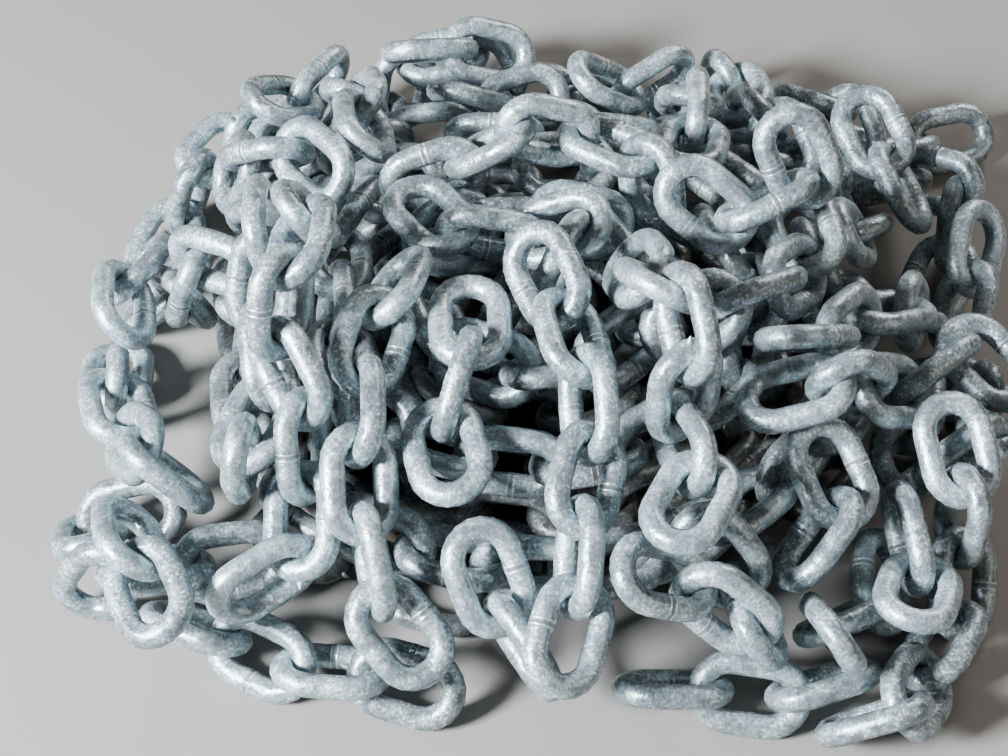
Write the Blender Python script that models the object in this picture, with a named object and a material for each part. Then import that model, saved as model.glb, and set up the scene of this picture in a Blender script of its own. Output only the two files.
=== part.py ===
"""A heap of galvanised short link chain, dropped on the floor and left as it fell.

The links are modelled one by one and threaded into strands. Loops of them bed down round the
core, one plain mound that stands for the links hidden inside the heap. Every strand over them
follows a route, and each of its links swings as low as the links and the mound under it allow.
Metres, +Z up. The origin is on the floor under the middle of the heap.
"""
import math

import bpy
import bmesh
import numpy as np
from mathutils import Matrix

# The link: round bar, bent into a long ring and welded across the middle of one leg. The bars of
# the bedding have fewer sides than those of the strands that show.
WIRE = 0.0087
INNER_LENGTH = 0.0254
INNER_WIDTH = 0.0120
FLAT_TIP = 0.55
BAR_SIDES = 8
BED_BAR_SIDES = 6

# The heap: half of its length and depth, and the core, the plain mound of hidden links
HALF_LENGTH = 0.190
HALF_DEPTH = 0.175
CORE_HEIGHT = 0.058
CORE_INSET = 0.034
CREST_SHARE = -0.12
CORE_SQUARENESS = 2.6
CORE_COLUMNS = 12

# The bedding: how far out each loop runs, as a share of the way to the core's foot. Its waves are
# each so many times round, shifted by an angle, and so large a share of the way. The links slant to
# either side by turns.
BED_LOOPS = {"bed_upper": 0.26, "bed_middle": 0.48, "bed_lower": 0.70}
BED_WAVES = ((3, 0.8, 0.045), (5, 2.1, 0.025), (2, 4.0, 0.03))
BED_SLANT = 45
BED_UNEVENNESS = 8
BED_STEPS = 720
BED_PASSES = 3

# How the links meet: joined at the bearings inside a strand, and a hair apart everywhere else
GAP = 0.00015
BEARING_SINK = 0.0011

# How a strand falls: the swings and twists that a link may take against its neighbour
LIFT_LIMIT = 72
LIFT_STEP = 8
SINK_STEP = 0.4
SIDE_SWINGS = (0, -15, 15, -30, 30)
TWISTS = (0, -15, 15, -30, 30)
UNEVENNESS = 6
SWAY_COST = 1.6
TWIST_COST = 1.1
BEND_COST = 0.25
LOOK_AHEAD = 0.038
FIRST_TWISTS = (45, -45, 0, 80)
GRAIN = 0.000001
BED_SEED = 1
FALL_SEED = 34
MOST_TRIES = 150

# Routes of the strands, from the first link to the last, as shares of the half length and the half
# depth, with +y away from the front. A strand lies on those that are listed before it.
ROUTES = {
    "back_rim": [(-.50, .84), (-.25, .90), (.00, .88), (.22, .88)],
    "left_back_rim": [(-.85, .30), (-.78, .50), (-.66, .66), (-.54, .80)],
    "right_back_rim": [(.84, .18), (.93, .34), (.88, .50), (.72, .56)],
    "right_slope": [(.62, .12), (.72, .28), (.62, .44), (.50, .58)],
    "front_right_rim": [(.16, -.88), (.32, -.89), (.50, -.86)],
    "right_rim": [(.90, .02), (.88, -.18), (.86, -.38)],
    "front_floor": [(-.72, -.68), (-.56, -.75), (-.40, -.80), (-.30, -.82), (-.18, -.86)],
    "left_fold": [(-.70, -.44), (-.82, -.42), (-.91, -.48), (-.86, -.56)],
    "left_edge": [(-.88, .06), (-.90, -.09), (-.82, -.18), (-.80, -.30), (-.72, -.41), (-.62, -.46)],
    "left_corner": [(-.87, -.65), (-.83, -.72), (-.75, -.68), (-.73, -.58), (-.62, -.59), (-.52, -.60)],
    "left_shoulder": [(-.89, .18), (-.78, .15), (-.65, .10), (-.58, -.05)],
    "back_left": [(-.67, .41), (-.56, .36), (-.42, .20)],
    "back_left_fall": [(-.34, .28), (-.36, .46), (-.39, .66), (-.38, .80)],
    "back_right": [(.30, .24), (.34, .40), (.36, .58), (.35, .78)],
    "back_tail": [(.48, .74), (.60, .72), (.72, .64), (.84, .68), (.93, .72)],
    "crest_back": [(-.30, .22), (-.10, .26), (.10, .26), (.24, .14)],
    "left_fall": [(-.52, .09), (-.51, -.07), (-.57, -.18), (-.55, -.32), (-.57, -.45), (-.52, -.56)],
    "inner_left_fall": [(-.42, -.02), (-.45, -.18), (-.44, -.33), (-.46, -.45), (-.42, -.60), (-.46, -.72)],
    "front_rings": [(-.12, -.68), (-.08, -.78), (-.02, -.88)],
    "right_edge": [(.76, -.36), (.81, -.48), (.79, -.62), (.75, -.76), (.66, -.84), (.56, -.90)],
    "right_foot": [(.66, -.52), (.68, -.64), (.60, -.74), (.50, -.80)],
    "right_fall": [(.50, -.44), (.57, -.54), (.58, -.64), (.48, -.70)],
    "right_hook": [(.27, -.64), (.38, -.70), (.43, -.77), (.34, -.80), (.20, -.79)],
    "right_shelf": [(.38, -.41), (.48, -.41), (.60, -.38), (.72, -.30), (.84, -.16)],
    "right_loop": [(.43, -.32), (.50, -.22), (.60, -.22), (.74, -.10), (.80, .05), (.70, .10)],
    "right_shoulder": [(.22, -.26), (.32, -.21), (.46, -.17), (.55, -.08), (.54, .05)],
    "shoulder_bight": [(.26, .10), (.36, .02), (.46, .02), (.50, .16)],
    "crest": [(-.26, .14), (-.18, -.02), (-.07, .04), (.06, .05), (.12, -.08)],
    "centre_zigzag": [(-.13, -.16), (-.07, -.28), (-.17, -.38), (-.11, -.52), (-.16, -.62)],
    "long_left_fall": [(-.25, -.08), (-.25, -.23), (-.34, -.38), (-.33, -.56), (-.31, -.72), (-.20, -.86)],
    "right_middle_fall": [(.17, -.07), (.19, -.24), (.26, -.36), (.29, -.53), (.24, -.70)],
    "middle_fall": [(-.02, -.10), (.05, -.24), (.07, -.40), (.08, -.58), (.04, -.74), (.05, -.86)],
}

# The bar's middle line turns an eighth of a round at each corner. The bar is swelled there, so that
# its section keeps its area, and BAR_REACH is the farthest that it comes from its middle line.
CORNER_TURN = math.pi / 4
WIRE_RADIUS = WIRE / 2
SWELL = 1 / math.sqrt(math.cos(CORNER_TURN / 2))
BAR_REACH = WIRE_RADIUS * SWELL
CROWN = (INNER_WIDTH + WIRE) / 2
HALF_LEG = (INNER_LENGTH + WIRE) / 2 - CROWN
REACH = HALF_LEG + CROWN
BEARING_SPACING = WIRE - BEARING_SINK
CORE_HALF_LENGTH = HALF_LENGTH - CORE_INSET
CORE_HALF_DEPTH = HALF_DEPTH - CORE_INSET
CREST = CREST_SHARE * CORE_HALF_DEPTH
SLOPE_STEP = WIRE / 100
UP = np.array([0.0, 0.0, 1.0])


def link_outline():
    """Corners of the middle line of a link's bar, along its length and across it.

    Each crown is a flat tip between two slopes. The flat is long enough to keep the slopes clear of
    the next link, so that two links meet at their tips alone.
    """
    tip = FLAT_TIP * CROWN
    front = [(HALF_LEG + tip, -CROWN), (REACH, -tip), (REACH, tip), (HALF_LEG + tip, CROWN)]
    return np.array(front + [(-along, -across) for along, across in front])


OUTLINE = link_outline()
FRONT_TIP, BACK_TIP = 1, 5


def unit(vectors):
    """The vectors at length one."""
    return vectors / np.linalg.norm(vectors, axis=-1, keepdims=True)


def core_height(x, y):
    """Height of the core over the floor, below zero outside its foot."""
    across = np.abs(x / CORE_HALF_LENGTH)
    depth = np.where(y < CREST, CORE_HALF_DEPTH + CREST, CORE_HALF_DEPTH - CREST)
    along = np.abs(y - CREST) / depth
    reach = (across ** CORE_SQUARENESS + along ** CORE_SQUARENESS) ** (1 / CORE_SQUARENESS)
    return CORE_HEIGHT * (1 - reach ** 2)


def core_slopes(x, y):
    """Height of the core and its slopes along x and y."""
    height = core_height(x, y)
    slope_x = (core_height(x + SLOPE_STEP, y) - height) / SLOPE_STEP
    slope_y = (core_height(x, y + SLOPE_STEP) - height) / SLOPE_STEP
    return height, slope_x, slope_y


def core_spot(reach, turn):
    """Plan point this share of the way to the core's foot, in this direction."""
    u, v = math.cos(turn), math.sin(turn)
    pull = reach / (abs(u) ** CORE_SQUARENESS + abs(v) ** CORE_SQUARENESS) ** (1 / CORE_SQUARENESS)
    depth = CORE_HALF_DEPTH + CREST if v < 0 else CORE_HALF_DEPTH - CREST
    return np.array([u * pull * CORE_HALF_LENGTH, CREST + v * pull * depth])


def ring(centre, along, across):
    """Corners of the bar's middle line for links at these places."""
    return centre[..., None, :] + OUTLINE[:, :1] * along[..., None, :] + OUTLINE[:, 1:] * across[..., None, :]


def segment_distance(a_start, a_end, b_start, b_end):
    """Least distances between straight stretches, over all broadcast pairs."""
    a_run, b_run, apart = a_end - a_start, b_end - b_start, a_start - b_start
    a_square, b_square = (a_run * a_run).sum(-1), (b_run * b_run).sum(-1)
    both, a_part, b_part = (a_run * b_run).sum(-1), (a_run * apart).sum(-1), (b_run * apart).sum(-1)
    spread = np.maximum(a_square * b_square - both * both, 1e-18)
    on_a = np.clip((both * b_part - a_part * b_square) / spread, 0, 1)
    on_b = np.clip((both * on_a + b_part) / b_square, 0, 1)
    on_a = np.clip((both * on_b - a_part) / a_square, 0, 1)
    between = apart + a_run * on_a[..., None] - b_run * on_b[..., None]
    return np.sqrt((between * between).sum(-1))


def ring_distances(rings, others):
    """Distance of each stretch of each ring to each stretch of the others."""
    a_start, a_end = rings[:, :, None], np.roll(rings, -1, axis=1)[:, :, None]
    b_start = others.reshape(1, 1, -1, 3)
    b_end = np.roll(others, -1, axis=1).reshape(1, 1, -1, 3)
    return segment_distance(a_start, a_end, b_start, b_end)


class Heap:
    """The links laid so far, over the core and the floor."""

    def __init__(self):
        self.rings = np.zeros((0, len(OUTLINE), 3))

    def core_clearance(self, rings):
        """Room between each ring and the core."""
        middles = (rings + np.roll(rings, -1, axis=1)) / 2
        points = np.concatenate([rings, middles], axis=1)
        height, slope_x, slope_y = core_slopes(points[..., 0], points[..., 1])
        over = (points[..., 2] - height) / np.sqrt(1 + slope_x ** 2 + slope_y ** 2) - BAR_REACH - GAP
        return np.where(height > -INNER_LENGTH, over, INNER_LENGTH).min(1)

    def clearance(self, rings, threaded=False, floor=True):
        """Room around each ring. The last link laid is passed over where the rings are threaded on it."""
        room = self.core_clearance(rings)
        if floor:
            room = np.minimum(room, rings[..., 2].min(1) - BAR_REACH)
        laid = self.rings[:-1] if threaded else self.rings
        free = np.flatnonzero(room >= 0)
        if len(laid) and len(free):
            away = np.abs(laid.mean(1) - rings.mean((0, 1)))[:, :2].max(1)
            near = laid[away < 3 * REACH]
            if len(near):
                spare = ring_distances(rings[free], near).min((1, 2)) - 2 * BAR_REACH - GAP
                room[free] = np.minimum(room[free], spare)
        return room

    def add(self, place):
        self.rings = np.concatenate([self.rings, ring(*place)[None]])

    def take_back(self):
        self.rings = self.rings[:-1]


def smooth_route(shares):
    """Points close together on a smooth curve through a route's own points, and how far along each is."""
    corners = np.array(shares) * (HALF_LENGTH, HALF_DEPTH)
    corners = np.concatenate([[2 * corners[0] - corners[1]], corners, [2 * corners[-1] - corners[-2]]])
    share = np.linspace(0, 1, 20, endpoint=False)[:, None]
    curve = []
    for before, start, end, after in zip(corners, corners[1:], corners[2:], corners[3:]):
        linear = (end - before) * share
        square = (2 * before - 5 * start + 4 * end - after) * share ** 2
        cube = (3 * start - before - 3 * end + after) * share ** 3
        curve.append((2 * start + linear + square + cube) / 2)
    curve = np.concatenate(curve + [corners[-2:-1]])
    steps = np.linalg.norm(np.diff(curve, axis=0), axis=1)
    return curve, np.concatenate([[0], np.cumsum(steps)])


class Route:
    """A strand's way over the heap, seen from above."""

    def __init__(self, shares):
        self.curve, self.far = smooth_route(shares)
        self.length = self.far[-1]

    def point(self, far):
        """The point this far along."""
        return np.array([np.interp(far, self.far, self.curve[:, axis]) for axis in range(2)])

    def heading(self, place, far):
        """Heading from a point of the plan to the route a little further on."""
        ahead = self.point(min(self.length, far + LOOK_AHEAD)) - place[:2]
        return math.atan2(ahead[1], ahead[0])

    def progress(self, place, far):
        """How far along the nearest point is, never back from the last one."""
        ahead = np.flatnonzero((self.far >= far) & (self.far <= far + 2 * REACH))
        if not len(ahead):
            return self.length
        away = ((self.curve[ahead] - place[:2]) ** 2).sum(1)
        return self.far[ahead[np.argmin(away)]]


def pointing(heading, lift):
    """Unit vectors at these headings and lifts."""
    return np.stack([np.cos(lift) * np.cos(heading), np.cos(lift) * np.sin(heading), np.sin(lift)], -1)


def twisted(along, side, twist):
    """The side direction turned about each link's length."""
    return np.cos(twist)[..., None] * side + np.sin(twist)[..., None] * np.cross(along, side)


def threaded_centres(last, along, across):
    """Centres of links pulled tight through the front crown of the last one."""
    centre, last_along, last_across = last
    pull = unit(np.cross(last_across, across))
    pull = pull * np.sign((pull * (along + last_along)).sum(-1, keepdims=True))
    return centre + last_along * REACH - pull * BEARING_SPACING + along * REACH


def moved_up_to(heap, centre, along, across, way, floor):
    """Centres moved this way until the links touch what is laid, or the floor where it counts."""
    for _ in range(40):
        room = np.maximum(heap.clearance(ring(centre, along, across), floor=floor), 0)
        centre = centre + way * room[:, None]
        if room.max() < GAP / 10:
            break
    return centre


def to_grain(values):
    """Lengths kept to the grain, so that the heap falls the same way every time."""
    return np.round(values / GRAIN) * GRAIN


def first_places(heap, route):
    """Ways to lay a strand's first link, the lowest first: let down, then slid in until it leans."""
    lifts = np.radians(np.arange(-60, 61, 15.0))
    lift, twist = [grid.ravel() for grid in np.meshgrid(lifts, np.radians(FIRST_TWISTS), indexing="ij")]
    start = route.point(0)
    along = pointing(np.full(len(lift), route.heading(start, 0)), lift)
    across = twisted(along, unit(np.cross(UP, along)), twist)
    centre = np.array([*start, CORE_HEIGHT + 6 * REACH]) + along * (REACH, REACH, 0)
    centre = moved_up_to(heap, centre, along, across, -UP, True)
    inwards = -unit(centre * (1, 1, 0))
    centre = to_grain(moved_up_to(heap, centre, along, across, inwards, False))
    order = np.argsort(np.round(centre[:, 2] / GRAIN), kind="stable")
    return [(centre[k], along[k], across[k]) for k in order]


def swings(last, heading, wander):
    """Directions that the next link may take, those that let it fall best first."""
    lifts = np.radians(np.arange(-LIFT_LIMIT, LIFT_LIMIT + 1, LIFT_STEP))
    grid = np.meshgrid(lifts, np.radians(SIDE_SWINGS), np.radians(TWISTS), indexing="ij")
    lift, sway, twist = [values.ravel() for values in grid]
    sway, twist = sway + wander[0], twist + wander[1]
    along = pointing(heading + sway, lift)
    side = np.cross(along, last[2])
    square_on = np.linalg.norm(side, axis=1) > 0.4
    side = unit(np.where(square_on[:, None], side, UP))
    bend = np.arccos(np.clip(along @ last[1], -1, 1))
    cost = np.sin(lift) + SWAY_COST * sway ** 2 + TWIST_COST * twist ** 2 + BEND_COST * bend ** 2
    order = np.argsort(np.where(square_on, np.round(cost, 9), 9), kind="stable")[:square_on.sum()]
    return along[order], twisted(along, side, twist)[order], heading + sway[order], lift[order]


def room_for(heap, last, along, across):
    """Centres of the threaded links and the room each one has, below zero where it has none."""
    centre = threaded_centres(last, along, across)
    rings = ring(centre, along, across)
    apart = ring_distances(rings, ring(*last)[None])
    bears = np.abs(apart[:, BACK_TIP, FRONT_TIP] - BEARING_SPACING) < GAP / 2
    apart[:, BACK_TIP, FRONT_TIP] = np.inf
    bears &= apart.min((1, 2)) > WIRE + GAP
    room = np.full(len(along), -1.0)
    if bears.any():
        room[bears] = heap.clearance(rings[bears], threaded=True)
    return centre, room


class Choice:
    """The swings left to try for one link, best first."""

    BATCH = 48

    def __init__(self, heap, last, heading, wander):
        self.heap, self.last = heap, last
        self.along, self.across, self.heading, self.lift = swings(last, heading, wander)
        self.tried = 0

    def next_place(self):
        """The next place with room, sunk as far as its swing allows, or None."""
        while self.tried < len(self.along):
            batch = slice(self.tried, self.tried + self.BATCH)
            centre, room = room_for(self.heap, self.last, self.along[batch], self.across[batch])
            fits = np.flatnonzero(room >= 0)
            if len(fits):
                k = self.tried + fits[0]
                self.tried = k + 1
                return self.sunk(k, centre[fits[0]])
            self.tried += self.BATCH
        return None

    def sunk(self, k, centre):
        """The same swing, a few degrees lower where there is room."""
        lift = self.lift[k] - np.radians(np.arange(LIFT_STEP, 0, -SINK_STEP))
        along = pointing(np.full(len(lift), self.heading[k]), lift)
        across = unit(self.across[k] - (along @ self.across[k])[:, None] * along)
        centres, room = room_for(self.heap, self.last, along, across)
        fits = np.flatnonzero(room >= 0)
        if len(fits):
            return to_grain(centres[fits[0]]), along[fits[0]], across[fits[0]]
        return to_grain(centre), self.along[k], self.across[k]


def lay_strand(heap, shares, chance):
    """Lay one strand along its route and return its links' places.

    A link that leaves no room for the next one is taken back and swung another way. A strand that
    can't reach the end of its route keeps the most links that it had.
    """
    route = Route(shares)
    starts = first_places(heap, route)
    links, choices, far, longest = [], [], [0], []
    for _ in range(MOST_TRIES):
        if not links:
            place = starts.pop(0) if starts else None
        else:
            if len(choices) < len(links):
                tip = links[-1][0] + links[-1][1] * REACH
                wander = np.radians(chance.uniform(-UNEVENNESS, UNEVENNESS, 2))
                choices.append(Choice(heap, links[-1], route.heading(tip, far[-1]), wander))
            place = choices[-1].next_place()
        if place is None:
            if not links:
                break
            choices.pop()
            links.pop()
            far.pop()
            heap.take_back()
            continue
        links.append(place)
        heap.add(place)
        far.append(route.progress(place[0] + place[1] * HALF_LEG, far[-1]))
        if len(links) > len(longest):
            longest = list(links)
        if far[-1] > route.length - 0.4 * INNER_LENGTH:
            return links
    for _ in links:
        heap.take_back()
    for place in longest:
        heap.add(place)
    return longest


def loop_joints(reach, start, rise):
    """Where the links of a loop bear on each other, and the directions square to the core there."""
    turns = start + np.linspace(0, 2 * math.pi, BED_STEPS)
    waves = [size * np.sin(times * turns + phase) for times, phase, size in BED_WAVES]
    reaches = reach * (1 + sum(waves))
    plan = np.array([core_spot(share, turn) for share, turn in zip(reaches, turns)])
    height, slope_x, slope_y = core_slopes(plan[:, 0], plan[:, 1])
    outwards = unit(np.stack([-slope_x, -slope_y, np.ones_like(height)], axis=1))
    curve = np.column_stack([plan, height]) + outwards * rise
    joints = [0]
    for number in range(1, BED_STEPS):
        if np.linalg.norm(curve[number] - curve[joints[-1]]) >= 2 * REACH - BEARING_SPACING:
            joints.append(number)
    return curve[joints], outwards[joints]


def lay_loop(heap, reach, chance):
    """Lay one loop round the core, let down until it touches, and return its links' places.

    The loop stays open where its last link would run into its first.
    """
    start = chance.uniform(0, 2 * math.pi)
    slants = np.radians(BED_SLANT + chance.uniform(-BED_UNEVENNESS, BED_UNEVENNESS, BED_STEPS))
    rise = BAR_REACH + CROWN
    for _ in range(BED_PASSES):
        joints, outwards = loop_joints(reach, start, rise)
        centre = (joints[:-1] + joints[1:]) / 2
        along = unit(joints[1:] - joints[:-1])
        side = unit(np.cross(outwards[:-1] + outwards[1:], along))
        signs = np.where(np.arange(len(along)) % 2, 1, -1)
        across = twisted(along, side, signs * slants[:len(along)])
        rise -= heap.core_clearance(ring(centre, along, across)).min()
    rings = ring(centre, along, across)
    clashes = np.flatnonzero(ring_distances(rings, rings[:1]).min((1, 2)) < WIRE + GAP)
    round_again = clashes[clashes > 1]
    count = round_again[0] if len(round_again) else len(rings)
    links = list(zip(to_grain(centre), along, across))[:count]
    for place in links:
        heap.add(place)
    return links


def lay_heap():
    """All loops and strands by name, each a list of link places."""
    heap = Heap()
    strands = {}
    for number, (name, reach) in enumerate(BED_LOOPS.items()):
        strands[name] = lay_loop(heap, reach, np.random.default_rng([BED_SEED, number]))
    for number, (name, shares) in enumerate(ROUTES.items()):
        strands[name] = lay_strand(heap, shares, np.random.default_rng([FALL_SEED, number]))
    return strands


def galvanised(name, shade):
    """Dull zinc, a little lighter or darker from strand to strand."""
    material = bpy.data.materials.new(name)
    material.use_nodes = True
    shader = material.node_tree.nodes["Principled BSDF"]
    shader.inputs["Base Color"].default_value = (0.42 * shade, 0.46 * shade, 0.50 * shade, 1)
    shader.inputs["Metallic"].default_value = 0.8
    shader.inputs["Roughness"].default_value = 0.5
    return material


def link_mesh(parts, sides):
    """One link as a mesh: a bar with this many sides around a closed outline."""
    curve = bpy.data.curves.new("chain_link", "CURVE")
    curve.dimensions = "3D"
    curve.bevel_depth = WIRE_RADIUS
    curve.bevel_resolution = sides // 2 - 2
    spline = curve.splines.new("POLY")
    spline.points.add(len(OUTLINE) - 1)
    for point, (along, across) in zip(spline.points, OUTLINE):
        point.co = (along, across, 0, 1)
        point.radius = SWELL
    spline.use_cyclic_u = True
    bar = bpy.data.objects.new("chain_link", curve)
    parts.objects.link(bar)
    mesh = bpy.data.meshes.new_from_object(bar.evaluated_get(bpy.context.evaluated_depsgraph_get()))
    bpy.data.objects.remove(bar)
    mesh.materials.clear()
    mesh.shade_smooth()
    return mesh


def placed(place, centre):
    """A link's place as a matrix, with the heap's middle brought over the origin."""
    middle, along, across = place
    columns = np.stack([along, across, np.cross(along, across), middle - centre], axis=1)
    return Matrix([*columns.tolist(), (0, 0, 0, 1)])


def build_strand(name, links, mesh, centre, parts, guides):
    """One strand: its first link, with the others joined on at the bearings."""
    strand = bpy.data.objects.new(name, mesh.copy())
    strand.matrix_world = placed(links[0], centre)
    strand.data.materials.append(galvanised(f"zinc_{name}", 0.9 + 0.2 * (len(parts.objects) % 3) / 2))
    parts.objects.link(strand)
    for number, place in enumerate(links[1:], start=2):
        guide = bpy.data.objects.new(f"{name}_link_{number}", mesh)
        guide.matrix_world = placed(place, centre)
        guide.hide_render = True
        guide.display_type = "WIRE"
        guides.objects.link(guide)
        bearing = strand.modifiers.new(f"bearing_{number}", "BOOLEAN")
        bearing.operation = "UNION"
        bearing.solver = "EXACT"
        bearing.object = guide


def build_core(centre, parts):
    """The mound of hidden links, flat underneath."""
    form = bmesh.new()
    bmesh.ops.create_grid(form, x_segments=CORE_COLUMNS, y_segments=CORE_COLUMNS, size=1)
    for vertex in form.verts:
        reach = max(abs(vertex.co.x), abs(vertex.co.y))
        x, y = core_spot(reach, math.atan2(vertex.co.y, vertex.co.x))
        vertex.co = (x - centre[0], y - centre[1], CORE_HEIGHT * (1 - reach ** 2))
    underside = bmesh.ops.holes_fill(form, edges=form.edges)["faces"][0]
    underside.normal_update()
    if underside.normal.z > 0:
        underside.normal_flip()
    mesh = bpy.data.meshes.new("core")
    form.to_mesh(mesh)
    form.free()
    mesh.materials.append(galvanised("zinc_core", 0.45))
    parts.objects.link(bpy.data.objects.new("core", mesh))


def plan_centre(strands):
    """Middle of the plan of all links, at the floor's height."""
    rings = np.concatenate([ring(*place) for links in strands.values() for place in links])
    low, high = rings.min(0), rings.max(0)
    return np.array([(low[0] + high[0]) / 2, (low[1] + high[1]) / 2, 0])


def main():
    for item in list(bpy.data.objects):
        bpy.data.objects.remove(item)
    parts = bpy.data.collections.new("chain_heap")
    guides = bpy.data.collections.new("guides")
    bpy.context.scene.collection.children.link(parts)
    bpy.context.scene.collection.children.link(guides)
    strands = lay_heap()
    centre = to_grain(plan_centre(strands))
    mesh = link_mesh(parts, BAR_SIDES)
    bed_mesh = link_mesh(parts, BED_BAR_SIDES)
    build_core(centre, parts)
    for name, links in strands.items():
        build_strand(name, links, bed_mesh if name in BED_LOOPS else mesh, centre, parts, guides)


main()
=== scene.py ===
"""Looks of a heap of galvanised short link chain.

The loops and strands of the frame are laid again link by link, by the same rules and from the same
sizes, and every link is dressed as round bar with a weld, drips of zinc and a dull mottled coat, with
painted shade on links that lie under others. The core of the frame is replaced by further loops just
under its surface, short strands at its foot and a dark inner mound of painted shade. Metres, +Z up.
The origin is on the floor under the middle of the heap.
"""
import logging
import math
from dataclasses import dataclass, field
from enum import Enum
from itertools import chain, takewhile
from typing import Any

import bmesh
import bpy
import numpy as np
from mathutils import Matrix, Vector


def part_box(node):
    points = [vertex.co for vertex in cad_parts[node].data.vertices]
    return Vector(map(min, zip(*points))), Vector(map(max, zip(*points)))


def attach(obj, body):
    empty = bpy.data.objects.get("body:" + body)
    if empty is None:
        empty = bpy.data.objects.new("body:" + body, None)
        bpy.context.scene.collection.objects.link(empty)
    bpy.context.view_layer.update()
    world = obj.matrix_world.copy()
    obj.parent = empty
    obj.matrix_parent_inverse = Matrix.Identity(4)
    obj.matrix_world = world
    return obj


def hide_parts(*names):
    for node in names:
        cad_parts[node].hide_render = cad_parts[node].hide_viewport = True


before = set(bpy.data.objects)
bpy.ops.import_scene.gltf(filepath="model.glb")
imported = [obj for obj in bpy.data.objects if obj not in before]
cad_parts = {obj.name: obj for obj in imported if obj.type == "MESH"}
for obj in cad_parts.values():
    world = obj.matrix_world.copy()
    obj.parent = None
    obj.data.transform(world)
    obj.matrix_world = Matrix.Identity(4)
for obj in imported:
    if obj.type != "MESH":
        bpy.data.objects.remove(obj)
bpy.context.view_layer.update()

LOG = logging.getLogger("chain_heap")

Place = tuple[np.ndarray, np.ndarray, np.ndarray]
Points = list[tuple[float, float]]
Colour = tuple[float, ...]
Noise = tuple[float, float]
Span = tuple[float, float, float, float]
Socket = bpy.types.NodeSocket

UP = np.array([0.0, 0.0, 1.0])
CORNER_TURN = math.pi / 4
GRAIN = 0.000001
PARALLEL = 1e-18
MILLIMETRES = 1000

# How far out each of the frame's three loops runs, as a share of the way to the core's foot
BED_LOOPS: dict[str, float] = {"bed_upper": 0.26, "bed_middle": 0.48, "bed_lower": 0.70}

# Routes of the strands, from the first link to the last, as shares of the half length and the half
# depth, with +y away from the front. A strand lies on those that are listed before it.
ROUTES: dict[str, Points] = {
    "back_rim": [(-.50, .84), (-.25, .90), (.00, .88), (.22, .88)],
    "left_back_rim": [(-.85, .30), (-.78, .50), (-.66, .66), (-.54, .80)],
    "right_back_rim": [(.84, .18), (.93, .34), (.88, .50), (.72, .56)],
    "right_slope": [(.62, .12), (.72, .28), (.62, .44), (.50, .58)],
    "front_right_rim": [(.16, -.88), (.32, -.89), (.50, -.86)],
    "right_rim": [(.90, .02), (.88, -.18), (.86, -.38)],
    "front_floor": [(-.72, -.68), (-.56, -.75), (-.40, -.80), (-.30, -.82), (-.18, -.86)],
    "left_fold": [(-.70, -.44), (-.82, -.42), (-.91, -.48), (-.86, -.56)],
    "left_edge": [(-.88, .06), (-.90, -.09), (-.82, -.18), (-.80, -.30), (-.72, -.41), (-.62, -.46)],
    "left_corner": [(-.87, -.65), (-.83, -.72), (-.75, -.68), (-.73, -.58), (-.62, -.59), (-.52, -.60)],
    "left_shoulder": [(-.89, .18), (-.78, .15), (-.65, .10), (-.58, -.05)],
    "back_left": [(-.67, .41), (-.56, .36), (-.42, .20)],
    "back_left_fall": [(-.34, .28), (-.36, .46), (-.39, .66), (-.38, .80)],
    "back_right": [(.30, .24), (.34, .40), (.36, .58), (.35, .78)],
    "back_tail": [(.48, .74), (.60, .72), (.72, .64), (.84, .68), (.93, .72)],
    "crest_back": [(-.30, .22), (-.10, .26), (.10, .26), (.24, .14)],
    "left_fall": [(-.52, .09), (-.51, -.07), (-.57, -.18), (-.55, -.32), (-.57, -.45), (-.52, -.56)],
    "inner_left_fall": [(-.42, -.02), (-.45, -.18), (-.44, -.33), (-.46, -.45), (-.42, -.60), (-.46, -.72)],
    "front_rings": [(-.12, -.68), (-.08, -.78), (-.02, -.88)],
    "right_edge": [(.76, -.36), (.81, -.48), (.79, -.62), (.75, -.76), (.66, -.84), (.56, -.90)],
    "right_foot": [(.66, -.52), (.68, -.64), (.60, -.74), (.50, -.80)],
    "right_fall": [(.50, -.44), (.57, -.54), (.58, -.64), (.48, -.70)],
    "right_hook": [(.27, -.64), (.38, -.70), (.43, -.77), (.34, -.80), (.20, -.79)],
    "right_shelf": [(.38, -.41), (.48, -.41), (.60, -.38), (.72, -.30), (.84, -.16)],
    "right_loop": [(.43, -.32), (.50, -.22), (.60, -.22), (.74, -.10), (.80, .05), (.70, .10)],
    "right_shoulder": [(.22, -.26), (.32, -.21), (.46, -.17), (.55, -.08), (.54, .05)],
    "shoulder_bight": [(.26, .10), (.36, .02), (.46, .02), (.50, .16)],
    "crest": [(-.26, .14), (-.18, -.02), (-.07, .04), (.06, .05), (.12, -.08)],
    "centre_zigzag": [(-.13, -.16), (-.07, -.28), (-.17, -.38), (-.11, -.52), (-.16, -.62)],
    "long_left_fall": [(-.25, -.08), (-.25, -.23), (-.34, -.38), (-.33, -.56), (-.31, -.72), (-.20, -.86)],
    "right_middle_fall": [(.17, -.07), (.19, -.24), (.26, -.36), (.29, -.53), (.24, -.70)],
    "middle_fall": [(-.02, -.10), (.05, -.24), (.07, -.40), (.08, -.58), (.04, -.74), (.05, -.86)],
}


class Slot(Enum):
    """Material slots of the record."""

    LINKS = "galvanised_links"
    HIDDEN = "hidden_links"


def unit(vectors: np.ndarray) -> np.ndarray:
    """The vectors at length one."""
    return vectors / np.linalg.norm(vectors, axis=-1, keepdims=True)


def to_grain(values: np.ndarray) -> np.ndarray:
    """Lengths kept to the grain, so that the heap falls the same way every time."""
    return np.round(values / GRAIN) * GRAIN


def grid_of(*axes: Any) -> list[np.ndarray]:
    """Every combination of these values, as one flat array an axis."""
    return [values.ravel() for values in np.meshgrid(*axes, indexing="ij")]


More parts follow.
